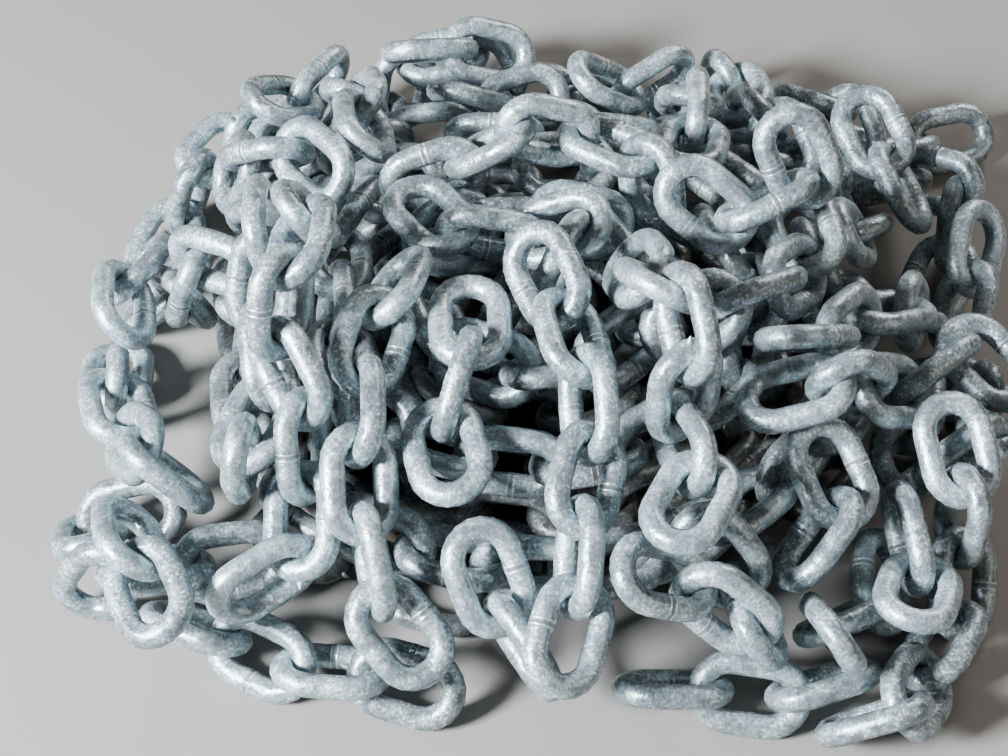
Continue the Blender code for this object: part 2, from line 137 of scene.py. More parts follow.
def lowest_first(centres: np.ndarray) -> np.ndarray:
    """Order of these points from the lowest up, to the grain."""
    return np.argsort(np.round(centres[:, 2] / GRAIN), kind="stable")


def stood(name: str, data: bpy.types.ID) -> bpy.types.Object:
    """A new object of the scene that shows this data.

    Args:
        name: name of the object.
        data: its mesh, light or camera.

    Returns:
        The object.
    """
    thing = bpy.data.objects.new(name, data)
    bpy.context.scene.collection.objects.link(thing)
    return thing


@dataclass
class LinkSizes:
    """One link of the chain: round bar, bent into a long ring and welded on one leg."""

    wire: float = 0.0087
    inner_length: float = 0.0254
    inner_width: float = 0.0120
    flat_tip: float = 0.55
    gap: float = 0.00015
    bearing_sink: float = 0.0011
    radius: float = field(init=False)
    bar_reach: float = field(init=False)
    crown: float = field(init=False)
    half_leg: float = field(init=False)
    reach: float = field(init=False)
    outline: np.ndarray = field(init=False)

    def __post_init__(self) -> None:
        """Work out the sizes that follow from the driving ones."""
        self.radius = self.wire / 2
        self.bar_reach = self.radius * (1 / math.sqrt(math.cos(CORNER_TURN / 2)))
        self.crown = (self.inner_width + self.wire) / 2
        self.half_leg = (self.inner_length + self.wire) / 2 - self.crown
        self.reach = self.half_leg + self.crown
        tip = self.flat_tip * self.crown
        front = [
            (self.half_leg + tip, -self.crown),
            (self.reach, -tip),
            (self.reach, tip),
            (self.half_leg + tip, self.crown),
        ]
        self.outline = np.array(front + [(-along, -across) for along, across in front])

    def ring(self, centre: np.ndarray, along: np.ndarray, across: np.ndarray) -> np.ndarray:
        """Corners of the bar's middle line for links at these places.

        Args:
            centre: middles of the links.
            along: directions of their lengths.
            across: directions of their widths.

        Returns:
            Eight corners a link.
        """
        lengthwise = self.outline[:, :1] * along[..., None, :]
        crosswise = self.outline[:, 1:] * across[..., None, :]
        return centre[..., None, :] + lengthwise + crosswise


@dataclass
class Core:
    """The plain mound that the bedding lies on."""

    half_length: float = 0.190
    half_depth: float = 0.175
    height: float = 0.058
    inset: float = 0.034
    crest_share: float = -0.12
    squareness: float = 2.6
    step: float = LinkSizes.wire / 100

    @property
    def half_x(self) -> float:
        """Half of the core's length at the floor."""
        return self.half_length - self.inset

    @property
    def half_y(self) -> float:
        """Half of the core's depth at the floor."""
        return self.half_depth - self.inset

    @property
    def crest(self) -> float:
        """Where the crest lies in depth."""
        return self.crest_share * self.half_y

    def height_at(self, x: np.ndarray, y: np.ndarray) -> np.ndarray:
        """Height of the core over the floor, below zero outside its foot.

        Args:
            x: places lengthwise.
            y: places in depth.

        Returns:
            One height a place.
        """
        across = np.abs(x / self.half_x)
        depth = np.where(y < self.crest, self.half_y + self.crest, self.half_y - self.crest)
        along = np.abs(y - self.crest) / depth
        reach = (across ** self.squareness + along ** self.squareness) ** (1 / self.squareness)
        return self.height * (1 - reach ** 2)

    def slopes(self, x: np.ndarray, y: np.ndarray) -> tuple[np.ndarray, np.ndarray, np.ndarray]:
        """Height of the core and its slopes along x and y.

        Args:
            x: places lengthwise.
            y: places in depth.

        Returns:
            Heights, slopes along x and slopes along y.
        """
        height = self.height_at(x, y)
        slope_x = (self.height_at(x + self.step, y) - height) / self.step
        slope_y = (self.height_at(x, y + self.step) - height) / self.step
        return height, slope_x, slope_y

    def spot(self, reach: float, turn: float) -> np.ndarray:
        """Plan point of the core at this share of the way to its foot, in this direction.

        Args:
            reach: share of the way to the foot.
            turn: direction, before the core is stretched to its length and depth.

        Returns:
            The point.
        """
        u, v = math.cos(turn), math.sin(turn)
        pull = reach / (abs(u) ** self.squareness + abs(v) ** self.squareness) ** (1 / self.squareness)
        depth = self.half_y + self.crest if v < 0 else self.half_y - self.crest
        return np.array([u * pull * self.half_x, self.crest + v * pull * depth])

    def shell(self, plan: np.ndarray, rise: float) -> tuple[np.ndarray, np.ndarray]:
        """Points this far out from the surface, square to it, and the directions square to it.

        Args:
            plan: points of the plan.
            rise: how far out.

        Returns:
            The points and the directions.
        """
        height, slope_x, slope_y = self.slopes(plan[..., 0], plan[..., 1])
        outwards = unit(np.stack([-slope_x, -slope_y, np.ones_like(height)], axis=-1))
        return np.concatenate([plan, height[..., None]], axis=-1) + outwards * rise, outwards


def segment_distance(
    a_start: np.ndarray, a_end: np.ndarray, b_start: np.ndarray, b_end: np.ndarray
) -> np.ndarray:
    """Least distances between straight stretches, over all broadcast pairs.

    Args:
        a_start: where the first ones start.
        a_end: where they end.
        b_start: where the others start.
        b_end: where they end.

    Returns:
        One distance a pair.
    """
    a_run, b_run, apart = a_end - a_start, b_end - b_start, a_start - b_start
    a_square, b_square = (a_run * a_run).sum(-1), (b_run * b_run).sum(-1)
    both, a_part, b_part = (a_run * b_run).sum(-1), (a_run * apart).sum(-1), (b_run * apart).sum(-1)
    spread = np.maximum(a_square * b_square - both * both, PARALLEL)
    on_a = np.clip((both * b_part - a_part * b_square) / spread, 0, 1)
    on_b = np.clip((both * on_a + b_part) / b_square, 0, 1)
    on_a = np.clip((both * on_b - a_part) / a_square, 0, 1)
    between = apart + a_run * on_a[..., None] - b_run * on_b[..., None]
    return np.sqrt((between * between).sum(-1))


def ring_distances(rings: np.ndarray, others: np.ndarray) -> np.ndarray:
    """Distance of each stretch of each ring to each stretch of the others.

    Args:
        rings: the rings.
        others: what they are measured to.

    Returns:
        An array by ring, its stretch, and stretch of the others.
    """
    a_start, a_end = rings[:, :, None], np.roll(rings, -1, axis=1)[:, :, None]
    b_start = others.reshape(1, 1, -1, 3)
    b_end = np.roll(others, -1, axis=1).reshape(1, 1, -1, 3)
    return segment_distance(a_start, a_end, b_start, b_end)


class Heap:
    """The links laid so far, over the core and the floor."""

    REACHES_AWAY = 3

    def __init__(self, link: LinkSizes, core: Core) -> None:
        """Start with no links.

        Args:
            link: sizes of the links.
            core: what the links lie on.
        """
        self.link, self.core = link, core
        self.nearby = self.REACHES_AWAY * link.reach
        self.rings = np.zeros((0, len(link.outline), 3))

    def core_clearance(self, rings: np.ndarray) -> np.ndarray:
        """Room between each ring and the core.

        Args:
            rings: rings to test.

        Returns:
            One length a ring, below zero where it reaches in.
        """
        link = self.link
        middles = (rings + np.roll(rings, -1, axis=1)) / 2
        points = np.concatenate([rings, middles], axis=1)
        height, slope_x, slope_y = self.core.slopes(points[..., 0], points[..., 1])
        tilt = np.sqrt(1 + slope_x ** 2 + slope_y ** 2)
        over = (points[..., 2] - height) / tilt - link.bar_reach - link.gap
        return np.where(height > -link.inner_length, over, link.inner_length).min(1)

    def clearance(self, rings: np.ndarray, threaded: bool = False, floor: bool = True) -> np.ndarray:
        """Room around each ring.

        Args:
            rings: rings to test.
            threaded: whether they are threaded on the last link, which is then passed over.
            floor: whether the floor counts.

        Returns:
            One length a ring, below zero where it has no room.
        """
        link = self.link
        room = self.core_clearance(rings)
        if floor:
            room = np.minimum(room, rings[..., 2].min(1) - link.bar_reach)
        laid = self.rings[:-1] if threaded else self.rings
        free = np.flatnonzero(room >= 0)
        if len(laid) and len(free):
            away = np.abs(laid.mean(1) - rings.mean((0, 1)))[:, :2].max(1)
            near = laid[away < self.nearby]
            if len(near):
                spare = ring_distances(rings[free], near).min((1, 2)) - 2 * link.bar_reach - link.gap
                room[free] = np.minimum(room[free], spare)
        return room

    def add(self, place: Place) -> None:
        """Lay a link."""
        self.rings = np.concatenate([self.rings, self.link.ring(*place)[None]])

    def take_back(self) -> None:
        """Take the last link back."""
        self.rings = self.rings[:-1]


class Route:
    """A strand's way over the heap, seen from above."""

    STEPS = 20

    def __init__(self, corners: np.ndarray, look_ahead: float) -> None:
        """Draw a smooth curve through the corners.

        Args:
            corners: plan points in metres.
            look_ahead: how far ahead of its tip a strand aims.
        """
        self.look_ahead = look_ahead
        ends = [[2 * corners[0] - corners[1]], corners, [2 * corners[-1] - corners[-2]]]
        corners = np.concatenate(ends)
        share = np.linspace(0, 1, self.STEPS, endpoint=False)[:, None]
        curve = []
        for before, start, end, after in zip(corners, corners[1:], corners[2:], corners[3:]):
            linear = (end - before) * share
            square = (2 * before - 5 * start + 4 * end - after) * share ** 2
            cube = (3 * start - before - 3 * end + after) * share ** 3
            curve.append((2 * start + linear + square + cube) / 2)
        self.curve = np.concatenate(curve + [corners[-2:-1]])
        steps = np.linalg.norm(np.diff(self.curve, axis=0), axis=1)
        self.far = np.concatenate([[0], np.cumsum(steps)])
        self.length = self.far[-1]

    def point(self, far: float) -> np.ndarray:
        """The point this far along."""
        return np.array([np.interp(far, self.far, self.curve[:, axis]) for axis in range(2)])

    def heading(self, place: np.ndarray, far: float) -> float:
        """Heading from a point of the plan to the route a little further on."""
        ahead = self.point(min(self.length, far + self.look_ahead)) - place[:2]
        return math.atan2(ahead[1], ahead[0])

    def progress(self, place: np.ndarray, far: float, span: float) -> float:
        """How far along the nearest point is, never back from the last one.

        Args:
            place: where the strand is.
            far: how far along it was.
            span: how much further the point may be.

        Returns:
            How far along it is.
        """
        ahead = np.flatnonzero((self.far >= far) & (self.far <= far + span))
        if not len(ahead):
            return self.length
        away = ((self.curve[ahead] - place[:2]) ** 2).sum(1)
        return self.far[ahead[np.argmin(away)]]


def pointing(heading: np.ndarray, lift: np.ndarray) -> np.ndarray:
    """Unit vectors at these headings and lifts."""
    return np.stack([np.cos(lift) * np.cos(heading), np.cos(lift) * np.sin(heading), np.sin(lift)], -1)


def twisted(along: np.ndarray, side: np.ndarray, twist: np.ndarray) -> np.ndarray:
    """The side direction turned about each link's length."""
    return np.cos(twist)[..., None] * side + np.sin(twist)[..., None] * np.cross(along, side)


def lying(heading: float, lift: np.ndarray, twist: np.ndarray) -> tuple[np.ndarray, np.ndarray]:
    """Directions along and across links of one heading, at these lifts and twists."""
    along = pointing(np.full(len(lift), heading), lift)
    return along, twisted(along, unit(np.cross(UP, along)), twist)


@dataclass(frozen=True)
class Fall:
    """How a strand falls: the swings and twists that a link may take against its neighbour."""

    lift_limit: int = 72
    lift_step: int = 8
    sink_step: float = 0.4
    side_swings: tuple[int, ...] = (0, -15, 15, -30, 30)
    twists: tuple[int, ...] = (0, -15, 15, -30, 30)
    unevenness: float = 6
    sway_cost: float = 1.6
    twist_cost: float = 1.1
    bend_cost: float = 0.25
    look_ahead: float = 0.038
    first_lift: int = 60
    first_step: float = 15.0
    first_twists: tuple[int, ...] = (45, -45, 0, 80)
    seed: int = 34
    most_tries: int = 150
    batch: int = 48

    FRONT_TIP = 1
    BACK_TIP = 5


class Choice:
    """The swings left to try for one link, best first."""

    SQUARE_ON = 0.4
    COST_DIGITS = 9

    def __init__(self, fall: Fall, heap: Heap, last: Place, heading: float, wander: np.ndarray) -> None:
        """List the directions that the next link may take, those that let it fall best first.

        Args:
            fall: how strands fall.
            heap: what is laid so far.
            last: place of the last link.
            heading: where the strand goes next.
            wander: chance swing and twist that the link gets besides.
        """
        self.fall, self.heap, self.last, self.tried = fall, heap, last, 0
        lifts = np.radians(np.arange(-fall.lift_limit, fall.lift_limit + 1, fall.lift_step))
        lift, sway, twist = grid_of(lifts, np.radians(fall.side_swings), np.radians(fall.twists))
        sway, twist = sway + wander[0], twist + wander[1]
        along = pointing(heading + sway, lift)
        side = np.cross(along, last[2])
        square_on = np.linalg.norm(side, axis=1) > self.SQUARE_ON
        side = unit(np.where(square_on[:, None], side, UP))
        bend = np.arccos(np.clip(along @ last[1], -1, 1))
        swing = fall.sway_cost * sway ** 2 + fall.twist_cost * twist ** 2
        cost = np.sin(lift) + swing + fall.bend_cost * bend ** 2
        rounded = np.round(cost, self.COST_DIGITS)
        ranked = np.argsort(np.where(square_on, rounded, np.inf), kind="stable")
        order = ranked[:square_on.sum()]
        self.along, self.across = along[order], twisted(along, side, twist)[order]
        self.heading, self.lift = heading + sway[order], lift[order]

    def room_for(self, along: np.ndarray, across: np.ndarray) -> tuple[np.ndarray, np.ndarray]:
        """Centres of the threaded links and the room each one has, below zero where it has none.

        Args:
            along: directions of the lengths to try.
            across: directions of the widths to try.

        Returns:
            The centres and the room.
        """
        link = self.heap.link
        spacing = link.wire - link.bearing_sink
        centre, last_along, last_across = self.last
        pull = unit(np.cross(last_across, across))
        pull = pull * np.sign((pull * (along + last_along)).sum(-1, keepdims=True))
        centres = centre + last_along * link.reach - pull * spacing + along * link.reach
        rings = link.ring(centres, along, across)
        apart = ring_distances(rings, link.ring(*self.last)[None])
        front, back = self.fall.FRONT_TIP, self.fall.BACK_TIP
        bears = np.abs(apart[:, back, front] - spacing) < link.gap / 2
        apart[:, back, front] = np.inf
        bears &= apart.min((1, 2)) > link.wire + link.gap
        room = np.full(len(along), -1.0)
        if bears.any():
            room[bears] = self.heap.clearance(rings[bears], threaded=True)
        return centres, room

    def next_place(self) -> Place | None:
        """The next place with room, sunk as far as its swing allows, or None.

        Returns:
            The place, or None where no swing is left.
        """
        while self.tried < len(self.along):
            batch = slice(self.tried, self.tried + self.fall.batch)
            centre, room = self.room_for(self.along[batch], self.across[batch])
            fits = np.flatnonzero(room >= 0)
            if len(fits):
                k = self.tried + fits[0]
                self.tried = k + 1
                return self.sunk(k, centre[fits[0]])
            self.tried += self.fall.batch
        return None

    def sunk(self, k: int, centre: np.ndarray) -> Place:
        """The same swing, a few degrees lower where there is room.

        Args:
            k: number of the swing.
            centre: where the link is at that swing.

        Returns:
            The place.
        """
        lift = self.lift[k] - np.radians(np.arange(self.fall.lift_step, 0, -self.fall.sink_step))
        along = pointing(np.full(len(lift), self.heading[k]), lift)
        across = unit(self.across[k] - (along @ self.across[k])[:, None] * along)
        centres, room = self.room_for(along, across)
        fits = np.flatnonzero(room >= 0)
        if len(fits):
            return to_grain(centres[fits[0]]), along[fits[0]], across[fits[0]]
        return to_grain(centre), self.along[k], self.across[k]


@dataclass
class StrandLayer:
    """Lays strands along their routes on what is laid before them."""

    heap: Heap
    fall: Fall

    DROP = 6
    NEAR_TOUCH = 10
    MOVES = 40
    NEAR_END = 0.4

    def moved_up_to(
        self, centre: np.ndarray, along: np.ndarray, across: np.ndarray, way: np.ndarray, floor: bool
    ) -> np.ndarray:
        """Centres moved this way until the links touch what is laid, or the floor where it counts.

        Args:
            centre: middles of the links.
            along: directions of their lengths.
            across: directions of their widths.
            way: which way they are moved.
            floor: whether the floor counts.

        Returns:
            The moved centres.
        """
        link = self.heap.link
        for _ in range(self.MOVES):
            room = np.maximum(self.heap.clearance(link.ring(centre, along, across), floor=floor), 0)
            centre = centre + way * room[:, None]
            if room.max() < link.gap / self.NEAR_TOUCH:
                break
        return centre

    def first_places(self, route: Route) -> list[Place]:
        """Ways to lay a strand's first link, the lowest first: let down, then slid in until it leans.

        Args:
            route: where the strand goes.

        Returns:
            The places.
        """
        fall, link = self.fall, self.heap.link
        lifts = np.radians(np.arange(-fall.first_lift, fall.first_lift + 1, fall.first_step))
        lift, twist = grid_of(lifts, np.radians(fall.first_twists))
        start = route.point(0)
        along, across = lying(route.heading(start, 0), lift, twist)
        above = np.array([*start, self.heap.core.height + self.DROP * link.reach])
        centre = above + along * (link.reach, link.reach, 0)
        centre = self.moved_up_to(centre, along, across, -UP, True)
        inwards = -unit(centre * (1, 1, 0))
        centre = to_grain(self.moved_up_to(centre, along, across, inwards, False))
        return [(centre[k], along[k], across[k]) for k in lowest_first(centre)]

    def lay(
        self, corners: np.ndarray, chance: np.random.Generator, starts: list[Place] | None = None
    ) -> list[Place]:
        """Lay one strand along its route.

        A link that leaves no room for the next one is taken back and swung another way. A strand that
        can't reach the end of its route keeps the most links that it had.

        Args:
            corners: plan points of the route.
            chance: source of the links' unevenness.
            starts: ways to lay the first link, where it isn't let down from above.

        Returns:
            The places of its links, from the first to the last.
        """
        heap, link, fall = self.heap, self.heap.link, self.fall
        route = Route(corners, fall.look_ahead)
        starts = self.first_places(route) if starts is None else starts
        links: list[Place] = []
        choices: list[Choice] = []
        far, longest = [0.0], []
        for _ in range(fall.most_tries):
            if not links:
                place = starts.pop(0) if starts else None
            else:
                if len(choices) < len(links):
                    tip = links[-1][0] + links[-1][1] * link.reach
                    wander = np.radians(chance.uniform(-fall.unevenness, fall.unevenness, 2))
                    choices.append(Choice(fall, heap, links[-1], route.heading(tip, far[-1]), wander))
                place = choices[-1].next_place()
            if place is None:
                if not links:
                    break
                choices.pop()
                links.pop()
                far.pop()
                heap.take_back()
                continue
            links.append(place)
            heap.add(place)
            far.append(route.progress(place[0] + place[1] * link.half_leg, far[-1], 2 * link.reach))
            if len(links) > len(longest):
                longest = list(links)
            if far[-1] > route.length - self.NEAR_END * link.inner_length:
                return links
        for _ in links:
            heap.take_back()
        for place in longest:
            heap.add(place)
        return longest


@dataclass
class LoopLayer:
    """Lays wavy loops round the core, of links that slant to either side by turns."""

    heap: Heap
    slant: float = 45
    unevenness: float = 8
    seed: int = 1

    STEPS = 720
    PASSES = 3
    # How many times each wave goes round, where it starts and its share of the loop's reach
    WAVES = ((3, 0.8, 0.045), (5, 2.1, 0.025), (2, 4.0, 0.03))

    def joints(self, reach: float, start: float, rise: float) -> tuple[np.ndarray, np.ndarray]:
        """Where the links of a loop bear on each other, and the directions square to the core there.

        Args:
            reach: how far out it runs, as a share of the way to the core's foot.
            start: direction in which it starts.
            rise: how far it is out from the core.

        Returns:
            The points and the directions.
        """
        core, link = self.heap.core, self.heap.link
        turns = start + np.linspace(0, 2 * math.pi, self.STEPS)
        waves = [size * np.sin(times * turns + phase) for times, phase, size in self.WAVES]
        reaches = reach * (1 + sum(waves))
        plan = np.array([core.spot(share, turn) for share, turn in zip(reaches, turns)])
        curve, outwards = core.shell(plan, rise)
        joints = [0]
        for number in range(1, self.STEPS):
            away = np.linalg.norm(curve[number] - curve[joints[-1]])
            if away >= 2 * link.reach - (link.wire - link.bearing_sink):
                joints.append(number)
        return curve[joints], outwards[joints]

    def places(self, reach: float, start: float, rise: float, slants: np.ndarray) -> list[np.ndarray]:
        """Centres of a loop's links and their directions along and across.

        Args:
            reach: how far out it runs, as a share of the way to the core's foot.
            start: direction in which it starts.
            rise: how far it is out from the core.
            slants: how far each link slants.

        Returns:
            The three, with one row a link.
        """
        joints, outwards = self.joints(reach, start, rise)
        centre = (joints[:-1] + joints[1:]) / 2
        along = unit(joints[1:] - joints[:-1])
        side = unit(np.cross(outwards[:-1] + outwards[1:], along))
        signs = np.where(np.arange(len(along)) % 2, 1, -1)
        return [centre, along, twisted(along, side, signs * slants[:len(along)])]

    def slants(self, chance: np.random.Generator) -> np.ndarray:
        """How far each link slants."""
        lean = chance.uniform(-self.unevenness, self.unevenness, self.STEPS)
        return np.radians(self.slant + lean)

    def lay(self, reach: float, chance: np.random.Generator) -> list[Place]:
        """Lay one loop, let down until it touches. It stays open where it would run into itself.

        Args:
            reach: how far out it runs, as a share of the way to the core's foot.
            chance: source of its start and of the links' unevenness.

        Returns:
            The places of its links.
        """
        link = self.heap.link
        start = chance.uniform(0, 2 * math.pi)
        slants = self.slants(chance)
        rise = link.bar_reach + link.crown
        for _ in range(self.PASSES):
            places = self.places(reach, start, rise, slants)
            rise -= self.heap.core_clearance(link.ring(*places)).min()
        rings = link.ring(*places)
        clashes = np.flatnonzero(ring_distances(rings, rings[:1]).min((1, 2)) < link.wire + link.gap)
        round_again = clashes[clashes > 1]
        count = round_again[0] if len(round_again) else len(rings)
        centre, along, across = places
        links = list(zip(to_grain(centre), along, across))[:count]
        for place in links:
            self.heap.add(place)
        return links


class Wiring:
    """Adds nodes to a tree and links them."""

    def __init__(self, tree: bpy.types.NodeTree) -> None:
        """Work on this tree."""
        self.tree = tree

    def add(self, kind: str, inputs: dict[str, Any] | None = None, **settings: Any) -> bpy.types.Node:
        """Add a node.

        Args:
            kind: Blender's name of the node type.
            inputs: what each input, by identifier, is linked to or set to.
            settings: properties of the node.

        Returns:
            The node.
        """
        node = self.tree.nodes.new(kind)
        for name, value in settings.items():
            setattr(node, name, value)
        sockets = {socket.identifier: socket for socket in node.inputs}
        for name, value in (inputs or {}).items():
            self.feed(sockets[name], value)
        return node

    def out(self, kind: str, inputs: dict[str, Any] | None = None, **settings: Any) -> Socket:
        """First output of a new node."""
        return self.add(kind, inputs, **settings).outputs[0]

    def feed(self, socket: Socket, value: Any) -> None:
        """Link a socket to an output, or set its own value.

        Args:
            socket: input of a node.
            value: an output, or a value of the socket's own kind.
        """
        if isinstance(value, Socket):
            self.tree.links.new(value, socket)
        else:
            socket.default_value = value

    def math(self, operation: str, *values: Any) -> Socket:
        """Output of a Math node on these values."""
        names = ("Value", "Value_001", "Value_002")
        return self.out("ShaderNodeMath", dict(zip(names, values)), operation=operation)

    def ramp(self, value: Any, low: float, high: float, start: float, end: float) -> Socket:
        """Output that goes smoothly from start to end while the value goes from low to high.

        Args:
            value: what is read.
            low: where the output starts to change.
            high: where it has changed.
            start: the output up to low.
            end: the output from high on.

        Returns:
            The output.
        """
        inputs = {"Value": value, "From Min": low, "From Max": high, "To Min": start, "To Max": end}
        return self.out("ShaderNodeMapRange", inputs, interpolation_type="SMOOTHSTEP")

    def sum(self, base: Any, *marks: tuple[Any, float]) -> Socket:
        """Output of a value to which shares of others are added.

        Args:
            base: the value.
            marks: what is added, and the share of it.

        Returns:
            The output.
        """
        for mark, share in marks:
            base = self.math("MULTIPLY_ADD", mark, share, base)
        return base

    def blend(self, factor: Any, first: Any, second: Any) -> Socket:
        """Output of a colour mix.

        Args:
            factor: share of the second colour.
            first: a colour.
            second: the other colour.

        Returns:
            The output.
        """
        inputs = {"Factor_Float": factor, "A_Color": first, "B_Color": second}
        node = self.add("ShaderNodeMix", inputs, data_type="RGBA")
        return next(socket for socket in node.outputs if socket.identifier == "Result_Color")


@dataclass
class LinkDetail:
    """How finely a link is drawn, and what the making of it left on the bar."""

    steps: int = 28
    sides: int = 10
    weld_swell: float = 0.04
    weld_reach: float = 0.0026
    drip_length: float = 0.0030
    drip_width: float = 0.0030
    drip_share: float = 0.12


class ChainTree:
    """Geometry Nodes that turn one point a link into links of round bar."""

    INPUTS = {
        "NodeSocketGeometry": ("Links",),
        "NodeSocketFloat": (
            "Bar Diameter",
            "Inner Length",
            "Inner Width",
            "Weld Reach",
            "Drip Length",
            "Drip Width",
            "Weld Swell",
        ),
        "NodeSocketInt": ("Steps Around", "Bar Sides"),
        "NodeSocketMaterial": ("Finish",),
    }
    FILLET_STEPS = 16
    ROUND_SHARE = 0.4999
    DRIP_SIDES = 10
    DRIP_SEGMENTS = 3
    DRIP_TIP = 0.0002
    DRIP_SUNK = 0.22

    def __init__(self) -> None:
        """Build the tree, with its named inputs."""
        self.tree = bpy.data.node_groups.new("chain_strand", "GeometryNodeTree")
        face = self.tree.interface
        for kind, names in self.INPUTS.items():
            for name in names:
                face.new_socket(name, in_out="INPUT", socket_type=kind)
        face.new_socket("Chain", in_out="OUTPUT", socket_type="NodeSocketGeometry")
        self.wiring = Wiring(self.tree)
        outputs = self.wiring.add("NodeGroupInput").outputs
        self.given = {socket.name: socket for socket in outputs if socket.name}
        self.fill()

    def named(self, name: str, data_type: str) -> Socket:
        """Value of a named attribute."""
        node = self.wiring.add("GeometryNodeInputNamedAttribute", {"Name": name}, data_type=data_type)
        return next(socket for socket in node.outputs if socket.enabled)

    def centre_line(self) -> Socket:
        """Middle line of the bar: two legs and two half rounds, in even steps.

        Returns:
            The curve.
        """
        wiring, given = self.wiring, self.given
        width = wiring.math("ADD", given["Inner Length"], given["Bar Diameter"])
        height = wiring.math("ADD", given["Inner Width"], given["Bar Diameter"])
        inputs = {"Width": width, "Height": height}
        inputs = {
            "Curve": wiring.out("GeometryNodeCurvePrimitiveQuadrilateral", inputs),
            "Count": self.FILLET_STEPS,
            "Radius": wiring.math("MULTIPLY", height, self.ROUND_SHARE),
            "Limit Radius": True,
        }
        rounded = wiring.out("GeometryNodeFilletCurve", inputs, mode="POLY")
        inputs = {"Curve": rounded, "Count": given["Steps Around"]}
        return wiring.out("GeometryNodeResampleCurve", inputs, mode="COUNT")

    def bar(self) -> Socket:
        """One link of round bar, a little thicker at the weld in the middle of one leg.

        Returns:
            The mesh.
        """
        wiring, given = self.wiring, self.given
        place = wiring.out("GeometryNodeInputPosition")
        split = wiring.add("ShaderNodeSeparateXYZ", {"Vector": place}).outputs
        near = wiring.ramp(wiring.math("ABSOLUTE", split[0]), 0.0, given["Weld Reach"], 1.0, 0.0)
        welded = wiring.math("MULTIPLY", near, wiring.math("GREATER_THAN", split[1], 0.0))
        thickness = wiring.math("MULTIPLY_ADD", welded, given["Weld Swell"], 1.0)
        radius = wiring.math("MULTIPLY", given["Bar Diameter"], 0.5)
        inputs = {"Resolution": given["Bar Sides"], "Radius": radius}
        section = wiring.out("GeometryNodeCurvePrimitiveCircle", inputs)
        inputs = {"Curve": self.centre_line(), "Profile Curve": section, "Scale": thickness}
        return wiring.out("GeometryNodeCurveToMesh", inputs)

    def drip(self) -> Socket:
        """A drop of zinc that froze at the tip of a crown.

        Returns:
            The mesh.
        """
        wiring, given = self.wiring, self.given
        inputs = {
            "Vertices": self.DRIP_SIDES,
            "Side Segments": self.DRIP_SEGMENTS,
            "Radius Top": self.DRIP_TIP,
            "Radius Bottom": wiring.math("MULTIPLY", given["Drip Width"], 0.5),
            "Depth": given["Drip Length"],
        }
        cone = wiring.out("GeometryNodeMeshCone", inputs)
        outer = wiring.math("ADD", given["Inner Length"], given["Bar Diameter"])
        outer = wiring.math("MULTIPLY", wiring.math("ADD", outer, given["Bar Diameter"]), 0.5)
        sunk = wiring.math("MULTIPLY", given["Drip Length"], self.DRIP_SUNK)
        root = wiring.math("SUBTRACT", outer, sunk)
        inputs = {
            "Geometry": cone,
            "Translation": wiring.out("ShaderNodeCombineXYZ", {"X": root}),
            "Rotation": (0.0, math.pi / 2, 0.0),
        }
        return wiring.out("GeometryNodeTransform", inputs)

    def marked(self, shape: Socket) -> Socket:
        """The shape with each point's place in its own link kept as an attribute.

        Args:
            shape: a bar or a drop.

        Returns:
            The shape with its attribute.
        """
        place = self.wiring.out("GeometryNodeInputPosition")
        inputs = {"Geometry": shape, "Name": "link_place"}
        node = self.wiring.add("GeometryNodeStoreNamedAttribute", inputs, data_type="FLOAT_VECTOR")
        value = next(socket for socket in node.inputs if socket.name == "Value" and socket.enabled)
        self.wiring.feed(value, place)
        return node.outputs[0]

    def fill(self) -> None:
        """Put the links, and the drips that some of them have, at their points."""
        wiring = self.wiring
        turn = self.named("turn", "QUATERNION")
        dripping = wiring.math("GREATER_THAN", self.named("drip", "FLOAT"), 0.0)
        whole = wiring.add("GeometryNodeJoinGeometry")
        for shape, chosen in ((self.bar(), {}), (self.drip(), {"Selection": dripping})):
            inputs = {"Points": self.given["Links"], "Instance": self.marked(shape), "Rotation": turn}
            placed = wiring.out("GeometryNodeInstanceOnPoints", inputs | chosen)
            self.tree.links.new(placed, whole.inputs[0])
        plain = wiring.out("GeometryNodeRealizeInstances", {"Geometry": whole.outputs[0]})
        smooth = wiring.out("GeometryNodeSetShadeSmooth", {"Geometry": plain})
        inputs = {"Geometry": smooth, "Material": self.given["Finish"]}
        coated = wiring.out("GeometryNodeSetMaterial", inputs)
        self.tree.links.new(coated, wiring.add("NodeGroupOutput").inputs[0])

    def settings(self, link: LinkSizes, detail: LinkDetail, finish: bpy.types.Material) -> dict[str, Any]:
        """What each named input is set to.

        Args:
            link: sizes of the links.
            detail: how finely they are drawn.
            finish: their material.

        Returns:
            A value a name.
        """
        return {
            "Bar Diameter": link.wire,
            "Inner Length": link.inner_length,
            "Inner Width": link.inner_width,
            "Weld Swell": detail.weld_swell,
            "Weld Reach": detail.weld_reach,
            "Drip Length": detail.drip_length,
            "Drip Width": detail.drip_width,
            "Steps Around": detail.steps,
            "Bar Sides": detail.sides,
            "Finish": finish,
        }

    def dress(self, piece: bpy.types.Object, values: dict[str, Any]) -> None:
        """Turn a piece's points into plain links.

        Args:
            piece: object with one vertex a link.
            values: what each named input is set to.
        """
        modifier = piece.modifiers.new("links", "NODES")
        modifier.node_group = self.tree
        for item in self.tree.interface.items_tree:
            if item.in_out == "INPUT" and item.name in values:
                modifier[item.identifier] = values[item.name]
        graph = bpy.context.evaluated_depsgraph_get()
        mesh = bpy.data.meshes.new_from_object(piece.evaluated_get(graph))
        piece.modifiers.clear()
        points = piece.data
        piece.data = mesh
        bpy.data.meshes.remove(points)
        mesh.name = piece.name
        for name in ("turn", "drip"):
            if name in mesh.attributes:
                mesh.attributes.remove(mesh.attributes[name])


